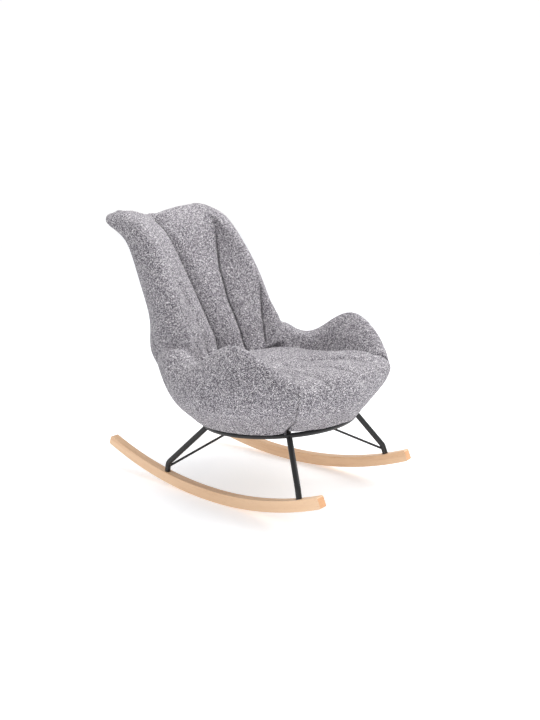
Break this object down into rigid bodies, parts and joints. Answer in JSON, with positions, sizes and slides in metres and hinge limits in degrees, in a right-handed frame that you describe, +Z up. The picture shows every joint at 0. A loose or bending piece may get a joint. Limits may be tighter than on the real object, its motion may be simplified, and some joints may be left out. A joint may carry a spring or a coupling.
{
  "type": "rocking_chair",
  "caption": "Upholstered tub rocking chair with rounded arms and a tall eared, channelled back, on a welded black steel ring base and bent light-wood rockers.",
  "frame": {"origin": "On the floor under the centre of the overall bounding box, midway between the rockers.", "axes": "+Z up; +Y towards the rear of the chair, the sitter faces -Y; +X to the right as seen from the front."},
  "size_m": [0.752, 0.9588, 0.9213],
  "materials": {
    "fabric": "speckled boucle weave, grey with a slight violet cast",
    "rocker_wood": "clear satin lacquer on light bent wood",
    "frame_steel": "satin powder coat",
    "fastener_steel": "zinc plated",
    "plywood": "raw"
  },
  "bodies": {
    "root": {"right_rocker": "rocker_wood", "left_rocker": "rocker_wood", "rocker_screws": "fastener_steel", "rocker_washers": "fastener_steel", "seat_ring": "frame_steel", "right_front_leg": "frame_steel", "left_front_leg": "frame_steel", "right_rear_leg": "frame_steel", "left_rear_leg": "frame_steel", "leg_inserts": "fastener_steel", "right_front_brace": "frame_steel", "left_front_brace": "frame_steel", "right_rear_brace": "frame_steel", "left_rear_brace": "frame_steel", "centre_plate": "frame_steel", "ring_tabs": "frame_steel", "plate_bolts": "fastener_steel", "plate_nuts": "fastener_steel", "tab_bolts": "fastener_steel", "tab_nuts": "fastener_steel", "seat_board": "plywood", "right_arm_cushion": "fabric", "left_arm_cushion": "fabric", "right_back_cushion": "fabric", "left_back_cushion": "fabric", "lower_back_cushion": "fabric", "seat_cushion": "fabric", "back_hoop": "frame_steel", "right_arm_hoop": "frame_steel", "left_arm_hoop": "frame_steel"}
  },
  "joints": []
}
